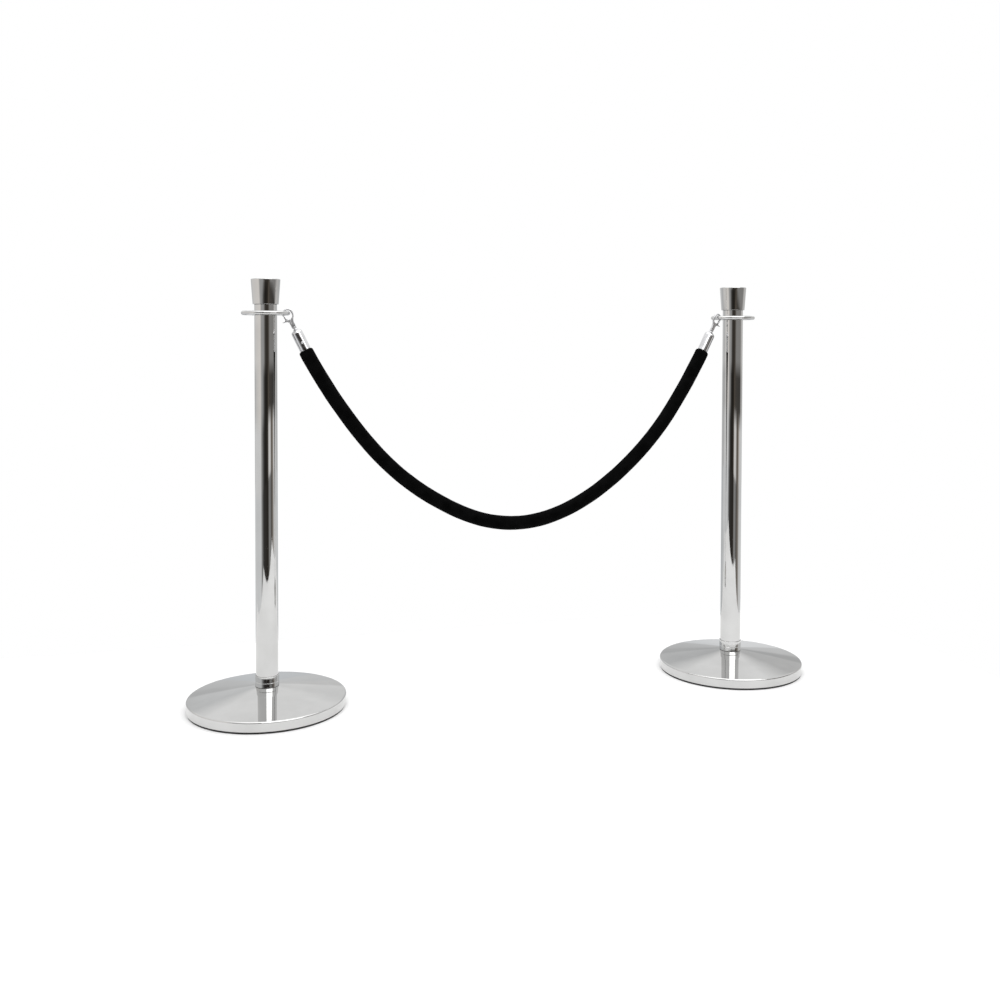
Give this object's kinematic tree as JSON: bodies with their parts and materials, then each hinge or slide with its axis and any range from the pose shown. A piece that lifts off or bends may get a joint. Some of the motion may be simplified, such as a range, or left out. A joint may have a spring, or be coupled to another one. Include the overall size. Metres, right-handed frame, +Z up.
{
  "type": "rope barrier stanchion",
  "caption": "Polished rope barrier: flared-top posts on weighted round bases, joined by a hanging velour rope with ferrules and swivel trigger hooks.",
  "frame": {"origin": "on the floor, midway between the two post axes", "axes": "+X along the rope to the right post, +Z up, so the rope and its hooks hang on the -Y side of the rings"},
  "size_m": [1.526, 0.36, 0.9818],
  "materials": {
    "polished_steel": "mirror polished stainless steel",
    "plated_fittings": "bright chrome plate",
    "zinc_steel": "zinc plated",
    "base_weight": "rough cast, painted black",
    "floor_pad": "matte",
    "velour": "short black pile",
    "rope_core": "twisted cotton filler"
  },
  "bodies": {
    "posts": {"left_floor_pad": "floor_pad", "left_base_weight": "base_weight", "left_base_cover": "polished_steel", "left_base_washer": "zinc_steel", "left_base_bolt": "zinc_steel", "left_collar": "polished_steel", "left_tube": "polished_steel", "left_foot_plug": "zinc_steel", "left_head_plug": "zinc_steel", "left_rope_ring": "polished_steel", "left_neck": "polished_steel", "left_crown": "polished_steel", "left_head_stud": "zinc_steel", "right_floor_pad": "floor_pad", "right_base_weight": "base_weight", "right_base_cover": "polished_steel", "right_base_washer": "zinc_steel", "right_base_bolt": "zinc_steel", "right_collar": "polished_steel", "right_tube": "polished_steel", "right_foot_plug": "zinc_steel", "right_head_plug": "zinc_steel", "right_rope_ring": "polished_steel", "right_neck": "polished_steel", "right_crown": "polished_steel", "right_head_stud": "zinc_steel"},
    "rope": {"rope_cover": "velour", "rope_core": "rope_core", "left_ferrule": "plated_fittings", "left_ferrule_screw": "plated_fittings", "right_ferrule": "plated_fittings", "right_ferrule_screw": "plated_fittings"},
    "left_hook": {"left_swivel_washer": "plated_fittings", "left_hook_body": "plated_fittings", "left_trigger_pin": "zinc_steel", "left_trigger_spring": "zinc_steel"},
    "right_hook": {"right_swivel_washer": "plated_fittings", "right_hook_body": "plated_fittings", "right_trigger_pin": "zinc_steel", "right_trigger_spring": "zinc_steel"},
    "left_trigger": {"left_trigger": "plated_fittings"},
    "right_trigger": {"right_trigger": "plated_fittings"}
  },
  "joints": [
    {"name": "rope_swing", "type": "hinge", "parent": "posts", "child": "rope", "pos_m": [0, -0.01268, 0.911], "axis": [1, 0, 0], "range_deg": [-25, 25]},
    {"name": "left_hook_swivel", "type": "hinge", "parent": "rope", "child": "left_hook", "pos_m": [-0.51735, -0.01268, 0.86601], "axis": [-0.4384, 0, 0.8988], "range_deg": [-20, 10]},
    {"name": "right_hook_swivel", "type": "hinge", "parent": "rope", "child": "right_hook", "pos_m": [0.51525, -0.01268, 0.86601], "axis": [0.4384, 0, 0.8988], "range_deg": [-30, 0]},
    {"name": "left_trigger_press", "type": "hinge", "parent": "left_hook", "child": "left_trigger", "pos_m": [-0.53539, -0.01268, 0.88658], "axis": [0, 1, 0], "range_deg": [0, 35], "stiffness_Nm_per_rad": 0.02, "springref_deg": -28.65},
    {"name": "right_trigger_press", "type": "hinge", "parent": "right_hook", "child": "right_trigger", "pos_m": [0.5329, -0.01022, 0.88677], "axis": [0.3074, -0.9397, -0.1499], "range_deg": [0, 35], "stiffness_Nm_per_rad": 0.02, "springref_deg": -28.65}
  ]
}
